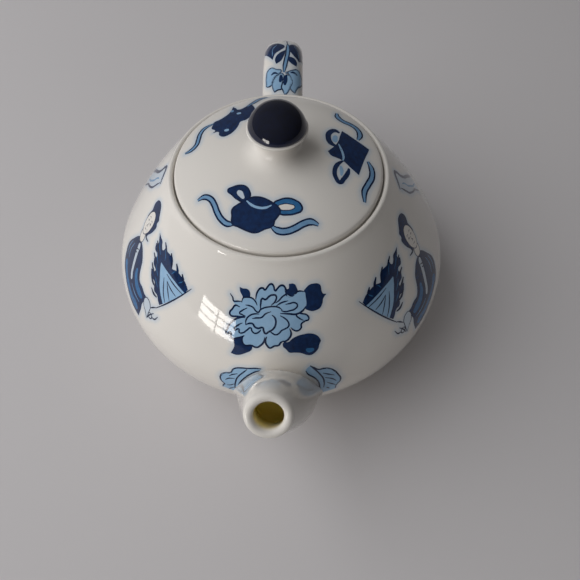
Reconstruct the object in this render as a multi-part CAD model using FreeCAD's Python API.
"""A small round porcelain teapot: a low-bellied pot with a lift-off lid.

The frame is the pot's own: the origin is the centre of the circle that the foot stands on, +Z is up, the
spout points along +X and the handle along -X. Lengths are in millimetres, and angles in degrees.
"""

import FreeCAD, Part
import math
import os

# Driving dimensions.
RIM_HEIGHT = 80.0          # top of the pot's rim above the table
SEAT_RADIUS = 36.25        # wall of the recess that the lid sits in
LIP_RADIUS = 0.95          # rounding of the pot's rim
WALL = 3.2                 # thrown wall of the pot and the lid
FOOT_HEIGHT = 4.0
FOOT_RADIUS = 42.0
LID_RADIUS = 35.5
LID_CROWN = 9.5            # top of the lid's dome above the rim
SPOUT_TIP = (86.9, 78.6)   # centre of the spout's mouth: reach from the axis, height
SPOUT_BORE = 4.15          # radius of the hole that the tea leaves by
HANDLE_REACH = 94.0        # from the pot's axis to the back of the handle
HANDLE_WIDTH = 16.4

# The pot's side, from the rim down, as tangent arcs: (radius, the way its surface faces where the arc ends).
# A negative radius is a hollow arc. The angle is the surface's elevation: 90 faces up, 0 out, -90 down.
SIDE_START = 28.0
SIDE = ((-12.0, 40.0), (200.0, 29.0), (25.4, -38.0), (70.0, -55.0))

# Pot.
FLOOR_THICKNESS = 4.0
LEDGE_DROP = 2.4           # the ledge that carries the lid lies this far under the rim
LEDGE_THICKNESS = 3.2
LEDGE_BORE = 31.0
STRAINER_HEIGHT = 37.0     # middle of the opening behind the spout
STRAINER_OPENING = 8.6     # radius of the opening in the pot's wall
STRAINER_PLACE = 60.0      # inner face of the pierced disc, from the pot's axis
STRAINER_THICKNESS = 2.0
STRAINER_JOINT = 0.05      # gap round the disc
STRAINER_HOLE = 1.4        # radius of each hole
STRAINER_CIRCLE = 5.2      # radius of the circle that the outer holes lie on
STRAINER_HOLES = 6         # holes on the circle, round the one in the middle

# Foot ring.
FOOT_WIDTH = 4.5
FOOT_DRAFT = 0.6           # the ring narrows towards the table
FOOT_ROUNDING = 1.0

# Lid.
LID_DOME_RADIUS = 79.0
LID_EDGE_ROUNDING = 1.8
FLANGE_OUTER = 30.4
FLANGE_INNER = 27.5
FLANGE_DEPTH = 9.5
FLANGE_DRAFT = 0.6         # the collar narrows downwards
VENT_PLACE = -16.0
VENT_RADIUS = 1.2

# Knob, with heights above the rim.
NECK_FOOT_RADIUS = 12.5    # where the stem's flare runs out on the lid
NECK_FOOT_EDGE = 0.2       # thickness of the flare at that edge
NECK_RADIUS = 6.8
NECK_TAPER = (1.0, 3.0)    # how much wider the stem is, and how far below its waist
NECK_SPREAD = (0.9, 2.6)   # how much wider it is again, and how far below the knob's rim
NECK_HEIGHT = 14.0
KNOB_RADIUS = 9.9
KNOB_RIM_HEIGHT = 19.0
KNOB_RIM_THICKNESS = 0.9
KNOB_TOP = 27.0
CAP_RADIUS = 9.55

# Spout: a Bezier centre line, and half widths across and in the pot's plane that shrink towards the mouth.
SPOUT_ROOT = (52.0, 25.0)
SPOUT_ROOT_ANGLE = 37.0
SPOUT_ROOT_PULL = 29.0
SPOUT_MOUTH_ANGLE = 42.0
SPOUT_MOUTH_PULL = 11.0
SPOUT_HALF_WIDTHS = (17.0, 10.0, 6.9)
SPOUT_BORE_WIDTHS = (12.6, 5.4, SPOUT_BORE)
SPOUT_ROOT_FLATNESS = 0.62  # height over width of the section at the root; the mouth is round
SPOUT_TAIL = 6.0           # straight run inside the pot, before the two are trimmed to each other
SPOUT_SECTIONS = 8
SPOUT_LIP = 1.3            # straight lip past the end of the centre line

# Handle: an oval strap along tangent arcs in the pot's plane.
HANDLE_OUTER = 7.8         # half thickness on the outside of the loop
HANDLE_INNER = 5.2         # half thickness on the inside of the loop
HANDLE_TOP_RADIUS = 23.2
HANDLE_LOW_RADIUS = 20.0
HANDLE_TOP_HEIGHT = 77.6   # crest of the handle above the table
HANDLE_RISE_ANGLE = 25.0
HANDLE_TOP_ROOT = 38.0     # how near the axis the strap starts, before it is trimmed to the pot
HANDLE_LOW_ROOT = 54.0

FULL_TURN = 360.0
UP = FreeCAD.Vector(0, 0, 1)
SMALL = 1e-6               # lengths closer than this are the same
AXIS = (FreeCAD.Vector(0, 0, 0), UP)


def at(reach, height):
    """A point in the pot's plane through the spout."""
    return FreeCAD.Vector(reach, 0, height)


def facing(angle):
    """The unit direction (reach, height) that a surface of this elevation faces."""
    turn = math.radians(angle)
    return math.cos(turn), math.sin(turn)


def step(point, angle, distance):
    """The point that lies a distance from another, in the direction of the angle."""
    reach, height = facing(angle)
    return point[0] + distance * reach, point[1] + distance * height


def arc(centre, radius, start, end):
    """An arc about a centre (reach, height), between two angles."""
    middle = (start + end) / 2
    points = [at(*step(centre, angle, radius)) for angle in (start, middle, end)]
    return Part.Arc(*points).toShape()


def line(start, end):
    return Part.LineSegment(at(*start), at(*end)).toShape()


def turned(edges):
    """The solid that a closed outline in the pot's plane makes when it turns about the axis."""
    face = Part.Face(Part.Wire(edges))
    return face.revolve(*AXIS, FULL_TURN)


def polygon(points):
    """Straight edges through the points, closed."""
    return [line(a, b) for a, b in zip(points, points[1:] + points[:1])]


def side_arcs():
    """The arcs of the pot's side from the rim down: centre, signed radius, start angle and end angle."""
    lip_centre = (SEAT_RADIUS + LIP_RADIUS, RIM_HEIGHT - LIP_RADIUS)
    point = step(lip_centre, SIDE_START, LIP_RADIUS)
    angle = SIDE_START
    arcs = []
    for radius, end in SIDE:
        centre = step(point, angle, -radius)
        point = step(centre, end, radius)
        arcs.append((centre, radius, angle, end))
        angle = end
    return arcs


def angle_at_height(centre, radius, height):
    """The angle at which an arc about the centre is at the given height."""
    return math.degrees(math.asin((height - centre[1]) / radius))


def pot_outside():
    """The edges from the foot up the side and over the rounded rim, ending at the seat wall."""
    arcs = side_arcs()
    centre, radius, start, _ = arcs[-1]
    low = angle_at_height(centre, radius, FOOT_HEIGHT)
    edges = [arc(centre, radius, low, start)]
    edges += [arc(*upper[:2], upper[3], upper[2]) for upper in reversed(arcs[:-1])]
    lip_centre = (SEAT_RADIUS + LIP_RADIUS, RIM_HEIGHT - LIP_RADIUS)
    edges.append(arc(lip_centre, LIP_RADIUS, SIDE_START, 180))
    return edges, step(centre, low, radius)


def pot_filled():
    """The pot's outer shape without its hollow, which trims the spout and the handle."""
    edges, foot_corner = pot_outside()
    seat_top = (SEAT_RADIUS, RIM_HEIGHT - LIP_RADIUS)
    path = [seat_top, (0, RIM_HEIGHT - LIP_RADIUS), (0, FOOT_HEIGHT), foot_corner]
    return turned(edges + [line(a, b) for a, b in zip(path, path[1:])])


def pot_body():
    """The hollow pot, with the recess and ledge for the lid and the opening for the strainer."""
    edges, foot_corner = pot_outside()
    ledge = RIM_HEIGHT - LEDGE_DROP
    under = ledge - LEDGE_THICKNESS
    floor = FOOT_HEIGHT + FLOOR_THICKNESS
    shoulder, belly, base = side_arcs()[1:]
    top = angle_at_height(shoulder[0], shoulder[1] - WALL, under)
    low = angle_at_height(base[0], base[1] - WALL, floor)
    inner_top = step(shoulder[0], top, shoulder[1] - WALL)
    inner_low = step(base[0], low, base[1] - WALL)
    seat = [(SEAT_RADIUS, RIM_HEIGHT - LIP_RADIUS), (SEAT_RADIUS, ledge)]
    seat += [(LEDGE_BORE, ledge), (LEDGE_BORE, under), inner_top]
    edges += [line(a, b) for a, b in zip(seat, seat[1:])]
    edges.append(arc(shoulder[0], shoulder[1] - WALL, top, shoulder[3]))
    edges.append(arc(belly[0], belly[1] - WALL, belly[2], belly[3]))
    edges.append(arc(base[0], base[1] - WALL, base[2], low))
    close = [inner_low, (0, floor), (0, FOOT_HEIGHT), foot_corner]
    edges += [line(a, b) for a, b in zip(close, close[1:])]
    return turned(edges).cut(drill(STRAINER_OPENING, 0, 0))


def drill(radius, across, up, start=LEDGE_BORE, length=SEAT_RADIUS):
    """A cylinder along +X through the pot's wall, set off from the middle of the strainer."""
    base = FreeCAD.Vector(start, across, STRAINER_HEIGHT + up)
    return Part.makeCylinder(radius, length, base, FreeCAD.Vector(1, 0, 0))


def strainer(pot):
    """The pierced disc in the wall's opening, flush outside: a hole in the middle and a circle of holes."""
    disc = drill(STRAINER_OPENING - STRAINER_JOINT, 0, 0, STRAINER_PLACE, STRAINER_THICKNESS)
    disc = disc.cut(drill(STRAINER_HOLE, 0, 0))
    for count in range(STRAINER_HOLES):
        place = step((0, 0), FULL_TURN * count / STRAINER_HOLES, STRAINER_CIRCLE)
        disc = disc.cut(drill(STRAINER_HOLE, *place))
    return disc.common(pot)


def foot_ring():
    """The ring that the pot stands on, drawn in a little towards the table, with rounded edges."""
    outer, inner = FOOT_RADIUS, FOOT_RADIUS - FOOT_WIDTH
    outline = [(inner, FOOT_HEIGHT), (inner + FOOT_DRAFT, 0), (outer - FOOT_DRAFT, 0), (outer, FOOT_HEIGHT)]
    ring = turned(polygon(outline))
    low_edges = [edge for edge in ring.Edges if edge.BoundBox.ZMax < FOOT_HEIGHT / 2 and edge.Length > outer]
    return ring.makeFillet(FOOT_ROUNDING, low_edges)


def lid_dome():
    """The lid's cover: a low dome with a rounded edge, hollow underneath, with a vent hole."""
    ledge = RIM_HEIGHT - LEDGE_DROP
    centre = (0, RIM_HEIGHT + LID_CROWN - LID_DOME_RADIUS)
    inset = LID_DOME_RADIUS - LID_EDGE_ROUNDING
    tilt = math.degrees(math.acos((LID_RADIUS - LID_EDGE_ROUNDING) / inset))
    rounding_centre = step(centre, tilt, inset)
    hollow = LID_DOME_RADIUS - WALL
    hollow_tilt = math.degrees(math.acos(FLANGE_INNER / hollow))
    hollow_edge = step(centre, hollow_tilt, hollow)
    edges = [arc(centre, LID_DOME_RADIUS, 90, tilt)]
    edges.append(arc(rounding_centre, LID_EDGE_ROUNDING, tilt, 0))
    path = [(LID_RADIUS, rounding_centre[1]), (LID_RADIUS, ledge), (FLANGE_INNER, ledge), hollow_edge]
    edges += [line(a, b) for a, b in zip(path, path[1:])]
    edges.append(arc(centre, hollow, hollow_tilt, 90))
    edges.append(line(step(centre, 90, hollow), step(centre, 90, LID_DOME_RADIUS)))
    vent = Part.makeCylinder(VENT_RADIUS, LID_CROWN + WALL, at(VENT_PLACE, RIM_HEIGHT), UP)
    return turned(edges).cut(vent)


def lid_flange():
    """The short collar under the lid that keeps it in the ledge's bore."""
    top = RIM_HEIGHT - LEDGE_DROP
    low = top - FLANGE_DEPTH
    outline = [(FLANGE_INNER, top), (FLANGE_INNER, low)]
    outline += [(FLANGE_OUTER - FLANGE_DRAFT, low), (FLANGE_OUTER, top)]
    return turned(polygon(outline))


def knob_stem(lid):
    """The knob's stem: it flares down into the lid, and out to a thin rim under the cap."""
    neck = RIM_HEIGHT + NECK_HEIGHT
    rim = RIM_HEIGHT + KNOB_RIM_HEIGHT
    low = RIM_HEIGHT + LID_CROWN - WALL / 2
    waist = at(NECK_RADIUS, neck)
    foot = [at(NECK_FOOT_RADIUS, low + NECK_FOOT_EDGE)]
    foot += [at(NECK_RADIUS + NECK_TAPER[0], neck - NECK_TAPER[1]), waist]
    flare = [waist, at(NECK_RADIUS + NECK_SPREAD[0], rim - NECK_SPREAD[1])]
    flare.append(at(KNOB_RADIUS, rim - KNOB_RIM_THICKNESS))
    edges = [line((0, low), (NECK_FOOT_RADIUS, low)), line((NECK_FOOT_RADIUS, low), (foot[0].x, foot[0].z))]
    for points in (foot, flare):
        curve = Part.BSplineCurve()
        curve.interpolate(points)
        edges.append(curve.toShape())
    path = [(KNOB_RADIUS, rim - KNOB_RIM_THICKNESS), (KNOB_RADIUS, rim), (0, rim), (0, low)]
    edges += [line(a, b) for a, b in zip(path, path[1:])]
    return turned(edges).cut(lid)


def knob_cap():
    """The rounded cap of the knob, a segment of a sphere on the stem's rim."""
    rim = RIM_HEIGHT + KNOB_RIM_HEIGHT
    rise = KNOB_TOP - KNOB_RIM_HEIGHT
    radius = (CAP_RADIUS ** 2 + rise ** 2) / (2 * rise)
    centre = (0, RIM_HEIGHT + KNOB_TOP - radius)
    tilt = angle_at_height(centre, radius, rim)
    edges = [arc(centre, radius, 90, tilt)]
    path = [(CAP_RADIUS, rim), (0, rim), (0, RIM_HEIGHT + KNOB_TOP)]
    edges += [line(a, b) for a, b in zip(path, path[1:])]
    return turned(edges)


def bezier(points, share):
    """A point of the Bezier curve that the control points give, at a share of the way along it."""
    while len(points) > 1:
        points = [tuple(u + (v - u) * share for u, v in zip(a, b)) for a, b in zip(points, points[1:])]
    return points[0]


def spout_line(share):
    """A point of the spout's centre line and the angle that the line climbs at there."""
    controls = [SPOUT_ROOT, step(SPOUT_ROOT, SPOUT_ROOT_ANGLE, SPOUT_ROOT_PULL)]
    controls += [step(SPOUT_TIP, SPOUT_MOUTH_ANGLE, -SPOUT_MOUTH_PULL), SPOUT_TIP]
    slopes = [(b[0] - a[0], b[1] - a[1]) for a, b in zip(controls, controls[1:])]
    along = bezier(slopes, share)
    return bezier(controls, share), math.degrees(math.atan2(along[1], along[0]))


def spout_section(share, widths, back=0.0):
    """The oval section of the spout at a share of its length, or set back along its line."""
    point, angle = spout_line(share)
    point = step(point, angle, -back)
    width = bezier([(value,) for value in widths], share)[0]
    height = width * (SPOUT_ROOT_FLATNESS + (1 - SPOUT_ROOT_FLATNESS) * share)
    side = FreeCAD.Vector(0, width, 0)
    up = at(*step((0, 0), angle + 90, height))
    major, minor = (side, up) if width > height else (up, side)
    centre = at(*point)
    if abs(width - height) < SMALL:
        along = at(*facing(angle))
        return Part.Wire(Part.makeCircle(width, centre, along))
    return Part.Wire(Part.Ellipse(centre + major, centre + minor, centre).toShape())


def spout_solid(widths, overrun):
    """A closed spout of the given half widths, run past the mouth by the overrun."""
    shares = [count / SPOUT_SECTIONS for count in range(SPOUT_SECTIONS + 1)]
    wires = [spout_section(0, widths, SPOUT_TAIL)]
    wires += [spout_section(share, widths) for share in shares]
    if overrun:
        wires.append(spout_section(1, widths, -overrun))
    return Part.makeLoft(wires, True, False)


def spout(pot):
    """The spout with its bore, trimmed to the pot's side."""
    outside = spout_solid(SPOUT_HALF_WIDTHS, SPOUT_LIP)
    bore = spout_solid(SPOUT_BORE_WIDTHS, SPOUT_BORE)
    return outside.cut(bore).cut(pot)


def handle_path():
    """The strap's line: up from the shoulder, over the top, down the back and in to the belly."""
    back = HANDLE_REACH - HANDLE_OUTER
    crest = HANDLE_TOP_HEIGHT - HANDLE_OUTER
    top_centre = (back - HANDLE_TOP_RADIUS, crest - HANDLE_TOP_RADIUS)
    low_centre = (back - HANDLE_LOW_RADIUS, top_centre[1])
    rise = 90 + HANDLE_RISE_ANGLE
    crest_start = step(top_centre, rise, HANDLE_TOP_RADIUS)
    run = (crest_start[0] - HANDLE_TOP_ROOT) / math.cos(math.radians(HANDLE_RISE_ANGLE))
    root = step(crest_start, HANDLE_RISE_ANGLE, -run)
    low = step(low_centre, -90, HANDLE_LOW_RADIUS)
    edges = [line(root, crest_start), arc(top_centre, HANDLE_TOP_RADIUS, rise, 0)]
    edges += [arc(low_centre, HANDLE_LOW_RADIUS, 0, -90), line(low, (HANDLE_LOW_ROOT, low[1]))]
    return Part.Wire(edges), root


def handle_section(root):
    """The strap's outline: two half ellipses on one width, the outer one fuller than the inner."""
    centre = at(*root)
    side = FreeCAD.Vector(0, HANDLE_WIDTH / 2, 0)
    halves = []
    for thickness, angle in ((HANDLE_OUTER, 90 + HANDLE_RISE_ANGLE), (HANDLE_INNER, HANDLE_RISE_ANGLE - 90)):
        crown = centre + at(*step((0, 0), angle, thickness))
        oval = Part.Ellipse(centre + side, crown, centre)
        halves.append(oval.toShape(0, math.pi))
    return Part.Wire(halves)


def handle(pot):
    """The ear-shaped handle, trimmed to the pot's side and turned to face away from the spout."""
    path, root = handle_path()
    strap = path.makePipeShell([handle_section(root)], True, True)
    return strap.cut(pot).mirror(FreeCAD.Vector(0, 0, 0), FreeCAD.Vector(1, 0, 0))


def main():
    os.makedirs("parts", exist_ok=True)
    pot = pot_filled()
    lid = lid_dome()
    nodes = {
        "pot_body": pot_body(),
        "foot_ring": foot_ring(),
        "strainer": strainer(pot),
        "spout": spout(pot),
        "handle": handle(pot),
        "lid_dome": lid,
        "lid_flange": lid_flange(),
        "knob_stem": knob_stem(lid),
        "knob_cap": knob_cap(),
    }
    for name, shape in nodes.items():
        solids = shape.Solids
        print(name, len(solids), "solid", shape.isValid(), round(shape.Volume), "mm3", shape.BoundBox)
        shape.exportStep(f"parts/{name}.step")


main()
